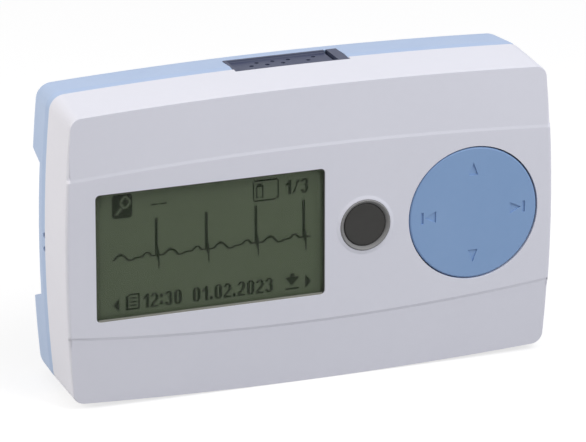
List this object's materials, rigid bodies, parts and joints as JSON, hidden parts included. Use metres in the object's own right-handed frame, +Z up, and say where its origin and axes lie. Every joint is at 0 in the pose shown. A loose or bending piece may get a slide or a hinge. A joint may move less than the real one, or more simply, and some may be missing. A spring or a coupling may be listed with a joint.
{
  "type": "holter monitor",
  "caption": "Handheld heart-rhythm recorder with a display, an event button and a direction pad on its face, a patient cable socket on top and a strap channel across its back.",
  "frame": {"origin": "under the middle of the casing, on the surface it stands on", "axes": "+X to the reader's right along the long side, +Y from the face to the back, +Z up; the face looks along -Y"},
  "size_m": [0.1078, 0.0272, 0.0655],
  "materials": {
    "shell_white": "fine matt, light grey-white",
    "shell_blue": "fine matt, pale blue",
    "seal_rubber": "matt black",
    "window_clear": "clear, slightly green",
    "display_panel": "grey-green panel with dark segments",
    "guide_acrylic": "milky, polished edges",
    "tray_plastic": "matt black",
    "ribbon_film": "amber film",
    "connector_plastic": "ivory, moulded",
    "button_rubber": "soft dark grey",
    "collar_plastic": "satin mid grey",
    "switch_body": "moulded black",
    "pad_blue": "satin mid blue",
    "gimbal_metal": "turned",
    "bracket_plastic": "moulded grey",
    "board_green": "solder mask over glass fibre",
    "screw_steel": "plated",
    "chip_epoxy": "moulded epoxy",
    "shield_tin": "tinned, pressed",
    "module_board": "solder mask with a metal can",
    "buzzer_case": "moulded black",
    "cell_steel": "stamped",
    "socket_plastic": "slate blue-grey, moulded",
    "contact_gold": "gold plated",
    "cell_wrap": "shrink sleeve",
    "contact_nickel": "nickel plated",
    "card_plastic": "moulded"
  },
  "bodies": {
    "housing": {"front_casing": "shell_white", "rear_casing": "shell_blue", "casing_seal": "seal_rubber", "display_window": "window_clear", "display_glass": "display_panel", "light_guide": "guide_acrylic", "display_frame": "tray_plastic", "display_ribbon": "ribbon_film", "ribbon_connector": "connector_plastic", "button_collar": "collar_plastic", "event_switch": "switch_body", "gimbal_bracket": "bracket_plastic", "pad_switches": "switch_body", "main_board": "board_green", "board_screws": "screw_steel", "casing_screws": "screw_steel", "processor": "chip_epoxy", "memory_chips": "chip_epoxy", "amplifier_shield": "shield_tin", "radio_module": "module_board", "buzzer": "buzzer_case", "clock_cell": "cell_steel", "clock_cell_holder": "connector_plastic", "patient_socket": "socket_plastic", "socket_contacts": "contact_gold", "round_cell": "cell_wrap", "cell_spring": "contact_nickel", "cell_plate": "contact_nickel", "card_holder": "shield_tin", "memory_card": "card_plastic"},
    "event_key": {"event_button": "button_rubber"},
    "pad_ring": {"pad_gimbal": "gimbal_metal"},
    "pad": {"navigation_pad": "pad_blue"},
    "door": {"battery_door": "shell_blue"}
  },
  "joints": [
    {"name": "event_press", "type": "slide", "parent": "housing", "child": "event_key", "axis": [0, 1, 0], "range_m": [0, 0.0006], "stiffness_N_per_m": 2500, "springref_m": -0.0002},
    {"name": "pad_tilt_x", "type": "hinge", "parent": "housing", "child": "pad_ring", "pos_m": [0.0359, -0.00785, 0.0328], "axis": [1, 0, 0], "range_deg": [-2, 2], "stiffness_Nm_per_rad": 0.65},
    {"name": "pad_tilt_z", "type": "hinge", "parent": "pad_ring", "child": "pad", "pos_m": [0.0359, -0.00785, 0.0328], "axis": [0, 0, 1], "range_deg": [-2, 2], "stiffness_Nm_per_rad": 0.65},
    {"name": "door_slide", "type": "slide", "parent": "housing", "child": "door", "axis": [1, 0, 0], "range_m": [0, 0.007]}
  ]
}
